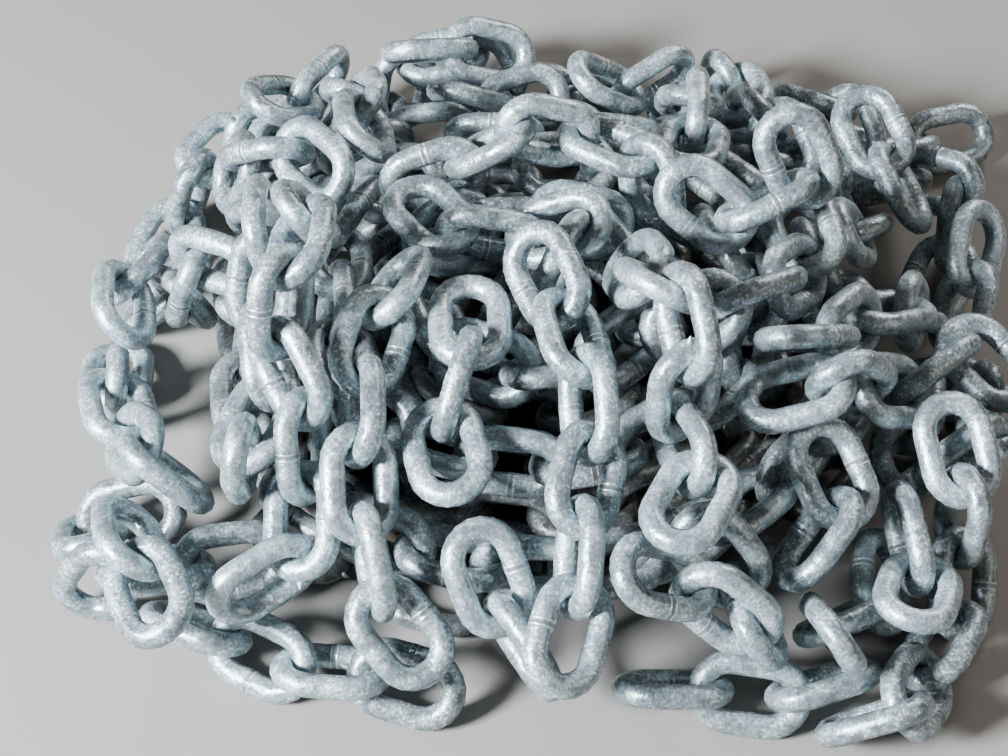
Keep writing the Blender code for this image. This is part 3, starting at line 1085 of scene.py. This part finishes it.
def new_material(name: str) -> tuple[bpy.types.Material, bpy.types.Node]:
    """A new material and its shader.

    Args:
        name: name of the material.

    Returns:
        The material and its shader node.
    """
    material = bpy.data.materials.new(name)
    material.use_nodes = True
    return material, material.node_tree.nodes["Principled BSDF"]


@dataclass(frozen=True)
class Zinc:
    """Dull hot dip zinc: pale bluish crystals, white bloom, rims at the weld, and painted shade, a dark
    brown, on links that lie under others.

    A noise is a scale and a detail. A span says what a value goes from and to, and then what it is
    turned into there.
    """

    name: str
    pale: Colour = (0.46, 0.575, 0.63, 1)
    dull: Colour = (0.15, 0.19, 0.215, 1)
    bloom: Colour = (0.86, 0.94, 0.97, 1)
    # Painted shade: the dark brown that links lying under others are darkened towards
    painted_shade: Colour = (0.050, 0.037, 0.026, 1)
    groove_tint: Colour = (0.16, 0.18, 0.19, 1)
    patch_noise: Noise = (120.0, 4.0)
    speck_noise: Noise = (900.0, 3.0)
    lump_noise: Noise = (260.0, 3.0)
    crystal_scale: float = 520.0
    patch_light: Span = (0.35, 0.65, 0.0, 0.45)
    crystal_light: float = 0.30
    tone_light: tuple[float, float] = (0.40, -0.06)
    pit_specks: Span = (0.33, 0.46, 0.55, 0.0)
    bloom_specks: Span = (0.52, 0.66, 0.0, 0.9)
    bloom_patches: Span = (0.42, 0.60, 0.25, 1.0)
    groove_share: float = 0.6
    rim_share: float = 0.8
    # How far the painted shade goes on a link that lies wholly under others, and how it varies in patches
    painted_shade_share: float = 0.86
    painted_shade_patches: Span = (0.30, 0.60, 1.0, 0.72)
    metallic: float = 0.55
    smoothest: float = 0.26
    roughest: float = 0.50
    crystal_grain: float = 0.4
    grain_ends: tuple[float, float] = (0.35, 1.0)
    bloom_roughness: float = 0.15
    bearing_roughness: float = -0.12
    speck_relief: float = 0.30
    groove_relief: float = -0.25
    rim_relief: float = 0.35
    relief_strength: float = 0.5
    relief_depth: float = 0.0009
    rim_place: float = 0.0011
    rim_width: float = 0.0004
    weld_spread: float = 7.3
    weld_strength: Span = (0.1, 0.8, 0.2, 1.0)
    bearing_edge: float = 0.4
    bearing_start: float = 0.25

    def build(self, link: LinkSizes) -> bpy.types.Material:
        """Build the material.

        Args:
            link: sizes of the links, for the places of the bearings.

        Returns:
            The material, which reads Object coordinates and the links' attributes.
        """
        material, shader = new_material(self.name)
        wiring = Wiring(material.node_tree)
        at = wiring.add("ShaderNodeTexCoord").outputs["Object"]
        patches, specks, lumps = [
            wiring.out("ShaderNodeTexNoise", {"Vector": at, "Scale": scale, "Detail": detail})
            for scale, detail in (self.patch_noise, self.speck_noise, self.lump_noise)
        ]
        cells = wiring.add("ShaderNodeTexVoronoi", {"Vector": at, "Scale": self.crystal_scale})
        crystal = wiring.out("ShaderNodeSeparateColor", {"Color": cells.outputs["Color"]})
        tone, shelter = [
            wiring.add("ShaderNodeAttribute", attribute_name=name).outputs["Fac"]
            for name in ("tone", "shelter")
        ]
        rims, groove, bearing = self.marks(wiring, link, tone)
        fine = wiring.ramp(specks, *self.bloom_specks)
        bloomed = wiring.math("MULTIPLY", fine, wiring.ramp(patches, *self.bloom_patches))

        light = wiring.sum(wiring.ramp(patches, *self.patch_light), (crystal, self.crystal_light))
        light = wiring.math("ADD", light, wiring.math("MULTIPLY_ADD", tone, *self.tone_light))
        coat = wiring.blend(light, self.dull, self.pale)
        # Painted shade: links that lie under others (the shelter attribute) are darkened towards a dark
        # brown, in uneven patches
        painted_shade_mask = wiring.math("MULTIPLY", shelter, self.painted_shade_share)
        layers = (
            (wiring.ramp(specks, *self.pit_specks), self.dull),
            (bloomed, self.bloom),
            (wiring.math("MULTIPLY", groove, self.groove_share), self.groove_tint),
            (wiring.math("MULTIPLY", rims, self.rim_share), self.bloom),
            (wiring.math("MULTIPLY", painted_shade_mask, wiring.ramp(patches, *self.painted_shade_patches)), self.painted_shade),
        )
        for share, colour in layers:
            coat = wiring.blend(share, coat, colour)

        grain = wiring.sum(patches, (crystal, self.crystal_grain))
        rough = wiring.ramp(grain, *self.grain_ends, self.smoothest, self.roughest)
        rough = wiring.sum(rough, (bloomed, self.bloom_roughness), (bearing, self.bearing_roughness))
        marks = (specks, self.speck_relief), (groove, self.groove_relief), (rims, self.rim_relief)
        relief = {
            "Height": wiring.sum(lumps, *marks),
            "Strength": self.relief_strength,
            "Distance": self.relief_depth,
        }
        values = {
            "Base Color": coat,
            "Metallic": self.metallic,
            "Roughness": rough,
            "Normal": wiring.out("ShaderNodeBump", relief),
        }
        for name, value in values.items():
            wiring.feed(shader.inputs[name], value)
        return material

    def marks(
        self, wiring: Wiring, link: LinkSizes, tone: Socket
    ) -> tuple[Socket, Socket, Socket]:
        """Marks on each link.

        Args:
            wiring: adds the nodes.
            link: sizes of the links.
            tone: a chance value of each link, which sets how strong its weld shows.

        Returns:
            Where the weld's rims are, where its groove is, and where the crowns bear inside.
        """
        place = wiring.add("ShaderNodeAttribute", attribute_name="link_place").outputs["Vector"]
        x, y, _ = wiring.add("ShaderNodeSeparateXYZ", {"Vector": place}).outputs
        along = wiring.math("ABSOLUTE", x)
        strong = wiring.math("FRACT", wiring.math("MULTIPLY", tone, self.weld_spread))
        strength = wiring.ramp(strong, *self.weld_strength)
        shows = wiring.math("MULTIPLY", wiring.math("GREATER_THAN", y, 0.0), strength)
        off_rim = wiring.math("ABSOLUTE", wiring.math("SUBTRACT", along, self.rim_place))
        rims = wiring.math("MULTIPLY", wiring.ramp(off_rim, 0.0, self.rim_width, 1.0, 0.0), shows)
        groove = wiring.math("MULTIPLY", wiring.ramp(along, 0.0, self.rim_place, 1.0, 0.0), shows)
        past = wiring.math("SUBTRACT", along, link.half_leg)
        squares = wiring.math("ADD", wiring.math("POWER", past, 2.0), wiring.math("POWER", y, 2.0))
        away = wiring.math("SQRT", squares)
        edge = link.crown - self.bearing_edge * link.radius
        inside = wiring.ramp(away, link.crown - link.radius, edge, 1.0, 0.0)
        on_crown = wiring.math("GREATER_THAN", past, self.bearing_start * link.crown)
        return rims, groove, wiring.math("MULTIPLY", inside, on_crown)


@dataclass(frozen=True)
class Plain:
    """One dull colour."""

    name: str
    colour: Colour
    roughness: float

    def build(self) -> bpy.types.Material:
        """Build the material.

        Returns:
            The material.
        """
        material, shader = new_material(self.name)
        shader.inputs["Base Color"].default_value = self.colour
        shader.inputs["Roughness"].default_value = self.roughness
        return material


def shelter_of(rings: np.ndarray, cover: np.ndarray, reach: float, full: float) -> np.ndarray:
    """How much each link lies under others, from 0 to 1, which sets how much painted shade it gets.

    Args:
        rings: the links.
        cover: corners of all links that may lie over them.
        reach: how far in plan a corner counts.
        full: number of corners over a link that hide it wholly.

    Returns:
        One share a link.
    """
    shares = []
    for ring in rings:
        middle = ring.mean(0)
        near = np.linalg.norm(cover[:, :2] - middle[:2], axis=1) < reach
        over = cover[:, 2] > middle[2] + reach / 2
        shares.append(min(1.0, (near & over).sum() / full))
    return np.array(shares)


@dataclass
class Strands:
    """Strands of chain that are each one piece."""

    link: LinkSizes
    detail: LinkDetail
    tree: ChainTree
    finish: bpy.types.Material
    centre: np.ndarray

    def points(
        self, name: str, links: list[Place], shelter: np.ndarray, chance: np.random.Generator
    ) -> bpy.types.Object:
        """An object with one vertex a link, and how each link is turned and toned.

        Args:
            name: name of the piece.
            links: places of its links.
            shelter: how much each link lies under others.
            chance: source of the links' differences.

        Returns:
            The object.
        """
        mesh = bpy.data.meshes.new(f"{name}_points")
        mesh.from_pydata([tuple(middle - self.centre) for middle, _, _ in links], [], [])
        turns = []
        for _, along, across in links:
            along, across = along * chance.choice((-1, 1)), across * chance.choice((-1, 1))
            turn = Matrix(np.stack([along, across, np.cross(along, across)], axis=1).tolist())
            turns.extend(turn.to_quaternion())
        dripping = chance.uniform(0, 1, len(links)) < self.detail.drip_share
        values = {
            "turn": ("QUATERNION", turns),
            "tone": ("FLOAT", chance.uniform(0, 1, len(links))),
            "shelter": ("FLOAT", shelter),
            "drip": ("FLOAT", dripping.astype(float)),
        }
        for key, (kind, data) in values.items():
            mesh.attributes.new(key, kind, "POINT").data.foreach_set("value", np.array(data, np.float32))
        return stood(name, mesh)

    def build(
        self,
        name: str,
        links: list[Place],
        shelter: np.ndarray,
        chance: np.random.Generator,
        node: str,
        slot: Slot,
    ) -> bpy.types.Object:
        """Build one piece of chain that replaces a node of the frame.

        Args:
            name: name of the piece.
            links: places of its links.
            shelter: how much each link lies under others.
            chance: source of the links' differences.
            node: node of the frame that it stands for.
            slot: material slot of the record; not used.

        Returns:
            The piece.
        """
        piece = self.points(name, links, shelter, chance)
        self.tree.dress(piece, self.tree.settings(self.link, self.detail, self.finish))
        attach(piece, "root")
        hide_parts(node)
        LOG.info("%s: %d links, %d faces", name, len(links), len(piece.data.polygons))
        return piece


@dataclass
class Bedding:
    """Further loops of chain just under the core's surface, over a dark inner mound of painted shade.

    Args:
        layer: lays the loops.
        depth: how far the middle of a loop is under the surface.
        reaches: how far out each loop runs, as a share of the way to the core's foot.
        thickness: how far the inner mound is under the surface.
        foot: how far out the inner mound reaches, as a share of the way to the core's foot.
        seed: for the loops' starts and the links' unevenness. The loops may run into each other.
    """

    layer: LoopLayer
    depth: float = 0.0142
    reaches: tuple[float, ...] = (0.15, 0.30, 0.44, 0.57, 0.69, 0.80)
    thickness: float = 0.029
    foot: float = 0.74
    seed: int = 11

    GRID = 32
    RIM = 0.999

    def lay(self) -> list[Place]:
        """Lay all loops, without the links that would reach into the floor.

        Returns:
            The places of their links.
        """
        chance = np.random.default_rng(self.seed)
        link = self.layer.heap.link
        links: list[Place] = []
        for reach in self.reaches:
            start = chance.uniform(0, 2 * math.pi)
            places = zip(*self.layer.places(reach, start, -self.depth, self.layer.slants(chance)))
            links.extend(place for place in places if link.ring(*place)[:, 2].min() > link.bar_reach)
        return links

    def build_inner_mound(self, centre: np.ndarray, finish: bpy.types.Material) -> bpy.types.Object:
        """The dark inside of the heap, a mound of painted shade, closed underneath.

        Args:
            centre: middle of the heap's plan.
            finish: its material.

        Returns:
            The piece.
        """
        core, gap = self.layer.heap.core, self.layer.heap.link.gap
        form = bmesh.new()
        bmesh.ops.create_grid(form, x_segments=self.GRID, y_segments=self.GRID, size=1)
        for vertex in form.verts:
            edge = max(abs(vertex.co.x), abs(vertex.co.y))
            spot = core.spot(self.foot * edge, math.atan2(vertex.co.y, vertex.co.x))
            point = core.shell(spot, -self.thickness)[0] - centre
            height = gap if edge > self.RIM else max(point[2], gap)
            vertex.co = (point[0], point[1], height)
        bmesh.ops.holes_fill(form, edges=form.edges)
        bmesh.ops.recalc_face_normals(form, faces=form.faces)
        mesh = bpy.data.meshes.new("inner_mound")
        form.to_mesh(mesh)
        form.free()
        mesh.shade_smooth()
        mesh.materials.append(finish)
        piece = stood("inner_mound", mesh)
        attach(piece, "root")
        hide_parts("core")
        LOG.info("inner_mound: %d faces", len(mesh.polygons))
        return piece


@dataclass
class FillStrands:
    """Short strands in the pockets between the strands that show, on the floor and on each other.

    Args:
        heap: what is laid so far.
        surface: the core, round which they lie.
        centre: middle of the heap's plan.
        limit: how far from it they may go, lengthwise, in depth and up.
        reaches: how far out they start, as shares of the way to the core's foot.
        levels: how high over the floor their first links may start, before they are let down.
        starts: how many are tried at each reach.
        stride: length of one stretch of a route.
        strides: number of corners of a route.
        aim: how far a route may turn from the way round the core.
        jitter: how far a start may be moved, as a share of the way to the next one.
        look_round: turn to the point of the core's round that gives a start its heading.
        most_tries: how many links are tried for one strand.
        seed: for the places and headings.
    """

    heap: Heap
    surface: Core
    centre: np.ndarray
    limit: tuple[float, float, float] = (0.183, 0.167, 0.062)
    reaches: tuple[float, ...] = (0.56, 0.66, 0.76, 0.86, 0.96, 1.06)
    levels: tuple[float, ...] = (0.0, 0.009, 0.019, 0.031)
    starts: int = 24
    stride: float = 0.027
    strides: int = 4
    aim: float = 0.7
    jitter: float = 0.3
    look_round: float = 0.1
    most_tries: int = 14
    seed: int = 5

    LIFTS = (-20, 0, 20)
    TWISTS = (0, 45, -45, 80)
    SHIFTS = (-0.006, 0.0, 0.006)
    LOWEST = 6

    def starts_at(self, layer: StrandLayer, corner: np.ndarray, heading: float) -> list[Place]:
        """Ways to lay a first link near this point, let down until it rests, the lowest first.

        Args:
            layer: lets them down.
            corner: point of the plan.
            heading: where the strand goes.

        Returns:
            The places, none where there is no room.
        """
        link = self.heap.link
        angles = np.radians(self.LIFTS), np.radians(self.TWISTS)
        grid = grid_of(*angles, self.SHIFTS, self.SHIFTS, self.levels)
        lift, twist, shift_x, shift_y, level = grid
        along, across = lying(heading, lift, twist)
        centre = np.stack([corner[0] + shift_x, corner[1] + shift_y, level], axis=1)
        lowest = link.ring(centre * (1, 1, 0), along, across)[..., 2].min(1)
        centre[:, 2] += link.bar_reach + link.gap - lowest
        free = np.flatnonzero(self.heap.clearance(link.ring(centre, along, across)) >= 0)
        free = free[lowest_first(centre[free])][:self.LOWEST]
        if not len(free):
            return []
        centre, along, across = centre[free], along[free], across[free]
        centre = to_grain(layer.moved_up_to(centre, along, across, -UP, True))
        places = [(centre[k], along[k], across[k]) for k in lowest_first(centre)]
        return [place for place in places if self.inside(place)]

    def inside(self, place: Place) -> bool:
        """Whether a link keeps to the limit."""
        ring = self.heap.link.ring(*place) - self.centre
        return bool((np.abs(ring) < self.limit).all())

    def lay(self) -> list[Place]:
        """Lay all of them.

        Returns:
            The places of their links.
        """
        chance = np.random.default_rng(self.seed)
        layer = StrandLayer(self.heap, Fall(most_tries=self.most_tries))
        links: list[Place] = []
        for reach in self.reaches:
            for number in range(self.starts):
                turn = 2 * math.pi * (number + chance.uniform(-self.jitter, self.jitter)) / self.starts
                here = self.surface.spot(reach, turn)
                ahead = self.surface.spot(reach, turn + self.look_round)
                heading = math.atan2(*(ahead - here)[::-1]) + chance.uniform(-self.aim, self.aim)
                step = np.array([math.cos(heading), math.sin(heading)]) * self.stride
                corners = np.array([here + step * count for count in range(self.strides)])
                starts = self.starts_at(layer, here, heading)
                laid = layer.lay(corners, chance, starts) if starts else []
                kept = list(takewhile(self.inside, laid))
                kept = kept if len(kept) > 1 else []
                for _ in laid[len(kept):]:
                    self.heap.take_back()
                links.extend(kept)
        return links


@dataclass
class ChainHeap:
    """The whole heap."""

    link: LinkSizes = field(default_factory=LinkSizes)
    core: Core = field(default_factory=Core)
    fall: Fall = field(default_factory=Fall)
    strands: dict[str, list[Place]] = field(default_factory=dict)
    worst_share: float = 1 / 8
    # shelter_reach and shelter_full set how much painted shade a link gets from the links over it
    shelter_reach: float = 0.016
    shelter_full: float = 22
    tone_seed: int = 23
    hidden_unevenness: float = 11
    hidden_detail: LinkDetail = field(default_factory=lambda: LinkDetail(steps=20, sides=8))
    # The bedding's copy of the zinc gets this much painted shade, and each bed link at least hidden_least
    # of it
    hidden_painted_shade: float = 0.94
    hidden_least: float = 0.35
    foot_core: Core = field(default_factory=lambda: Core(height=0.030, inset=0.085))
    # The inner mound's near-black brown: painted shade where deep links would lie in shadow
    shade: Plain = Plain("deep_shade", (0.030, 0.022, 0.017, 1), 0.9)

    def lay(self) -> None:
        """Lay the loops round the core, and the strands over them by their routes."""
        heap = Heap(self.link, self.core)
        loops, layer = LoopLayer(heap), StrandLayer(heap, self.fall)
        for number, (name, reach) in enumerate(BED_LOOPS.items()):
            self.strands[name] = loops.lay(reach, np.random.default_rng([loops.seed, number]))
        for number, (name, shares) in enumerate(ROUTES.items()):
            corners = np.array(shares) * (self.core.half_length, self.core.half_depth)
            self.strands[name] = layer.lay(corners, np.random.default_rng([self.fall.seed, number]))

    def rings(self, links: list[Place]) -> np.ndarray:
        """Corners of all these links."""
        return np.stack([self.link.ring(*place) for place in links])

    def centre(self) -> np.ndarray:
        """Middle of the plan of all links that show, at the floor's height.

        Returns:
            The point.
        """
        rings = np.concatenate([self.rings(links) for links in self.strands.values()]).reshape(-1, 3)
        low, high = rings.min(0), rings.max(0)
        return to_grain(np.array([(low[0] + high[0]) / 2, (low[1] + high[1]) / 2, 0]))

    def compare(self, centre: np.ndarray) -> None:
        """Report how far the laid strands are from the frame's own.

        Args:
            centre: middle of the heap's plan.
        """
        worst = 0.0
        for name, links in self.strands.items():
            rings = self.rings(links).reshape(-1, 3) - centre
            low, high = (np.array(corner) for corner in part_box(name))
            middle_off = np.abs((rings.min(0) + rings.max(0)) / 2 - (low + high) / 2).max()
            worst = max(worst, middle_off)
        level = logging.WARNING if worst > self.link.wire * self.worst_share else logging.INFO
        LOG.log(level, "strands lie within %.2f mm of the frame's", worst * MILLIMETRES)

    def shelter(self, links: list[Place], cover: np.ndarray) -> np.ndarray:
        """How much each of these links lies under the corners of others, from 0 to 1."""
        return shelter_of(self.rings(links), cover, self.shelter_reach, self.shelter_full)

    def build(self) -> np.ndarray:
        """Build every piece of the heap.

        Returns:
            The middle of the heap's plan, as the routes count it.
        """
        self.lay()
        centre = self.centre()
        self.compare(centre)
        bedding = Bedding(LoopLayer(Heap(self.link, self.core), unevenness=self.hidden_unevenness))
        bed = bedding.lay()
        floor_heap = Heap(self.link, self.foot_core)
        for place in [*chain(*self.strands.values()), *bed]:
            floor_heap.add(place)
        fill = FillStrands(floor_heap, self.core, centre).lay()

        tree, chance = ChainTree(), np.random.default_rng(self.tone_seed)
        zinc = Zinc("galvanised_links").build(self.link)
        showing = Strands(self.link, LinkDetail(), tree, zinc, centre)
        cover = self.rings(list(chain(*self.strands.values()))).reshape(-1, 3)
        for name, links in self.strands.items():
            showing.build(f"strand_{name}", links, self.shelter(links, cover), chance, name, Slot.LINKS)

        cover = np.concatenate([cover, self.rings(bed).reshape(-1, 3)])
        # A darker copy of the zinc for the bedding, with stronger painted shade
        deep = Zinc("galvanised_bed_links", painted_shade_share=self.hidden_painted_shade).build(self.link)
        under = Strands(self.link, self.hidden_detail, tree, deep, centre)
        # Every bed link is painted at least hidden_least of the way into shade
        depths = self.hidden_least + (1 - self.hidden_least) * self.shelter(bed, cover)
        under.build("bed_links", bed, depths, chance, "core", Slot.HIDDEN)
        showing.build("fill_links", fill, self.shelter(fill, cover), chance, "core", Slot.HIDDEN)
        bedding.build_inner_mound(centre, self.shade.build())
        return centre


@dataclass(frozen=True)
class Lamp:
    """A square light that looks at the heap."""

    name: str
    place: tuple[float, float, float]
    size: float
    power: float
    colour: Colour

    def build(self) -> None:
        """Add the light."""
        data = bpy.data.lights.new(self.name, "AREA")
        data.size, data.energy, data.color = self.size, self.power, self.colour
        lamp = stood(self.name, data)
        lamp.location = self.place
        lamp.rotation_euler = (-Vector(self.place)).to_track_quat("-Z", "Y").to_euler()


@dataclass
class Studio:
    """Floor, lights and camera."""

    centre: np.ndarray
    camera_place: tuple[float, float, float] = (-0.012, -0.4834, 0.5761)
    target: tuple[float, float, float] = (-0.012, 0.0, 0.0)
    lens: float = 67.1
    sensor: float = 36.0
    floor_size: float = 8.0
    floor_finish: Plain = Plain("pale_floor", (0.23, 0.222, 0.212, 1), 0.85)
    sky_colour: Colour = (1.0, 0.90, 0.80, 1)
    sky_strength: float = 0.07
    lamps: tuple[Lamp, ...] = (
        Lamp("key", (-1.00, -0.60, 0.75), 0.30, 108, (0.93, 0.98, 1.0)),
        Lamp("fill", (1.10, -0.55, 0.75), 0.8, 3.5, (1.0, 0.88, 0.77)),
        Lamp("back", (0.75, 1.10, 0.85), 0.6, 14, (1.0, 0.95, 0.90)),
    )

    def build_floor(self) -> None:
        """Lay the floor."""
        mesh = bpy.data.meshes.new("floor")
        half = self.floor_size / 2
        corners = [(-half, -half, 0), (half, -half, 0), (half, half, 0), (-half, half, 0)]
        mesh.from_pydata(corners, [], [(0, 1, 2, 3)])
        mesh.materials.append(self.floor_finish.build())
        floor = stood("floor", mesh)

    def build_sky(self) -> None:
        """Light the heap faintly from all round."""
        world = bpy.data.worlds.new("studio")
        world.use_nodes = True
        sky = world.node_tree.nodes["Background"]
        sky.inputs["Color"].default_value = self.sky_colour
        sky.inputs["Strength"].default_value = self.sky_strength
        bpy.context.scene.world = world

    def build_camera(self) -> None:
        """Look at the heap from where the photograph was taken."""
        data = bpy.data.cameras.new("camera")
        data.lens, data.sensor_width = self.lens, self.sensor
        camera = stood("camera", data)
        place = Vector(self.camera_place) - Vector(self.centre)
        towards = Vector(self.target) - Vector(self.centre) - place
        camera.location = place
        camera.rotation_euler = towards.to_track_quat("-Z", "Y").to_euler()
        bpy.context.scene.camera = camera

    def build(self) -> None:
        """Build the studio around the heap."""
        self.build_floor()
        self.build_sky()
        for lamp in self.lamps:
            lamp.build()
        self.build_camera()


def main() -> None:
    """Build the heap and the studio."""
    logging.basicConfig(level=logging.INFO, format="%(name)s: %(message)s")
    Studio(ChainHeap().build()).build()


if __name__ == "__main__":
    main()
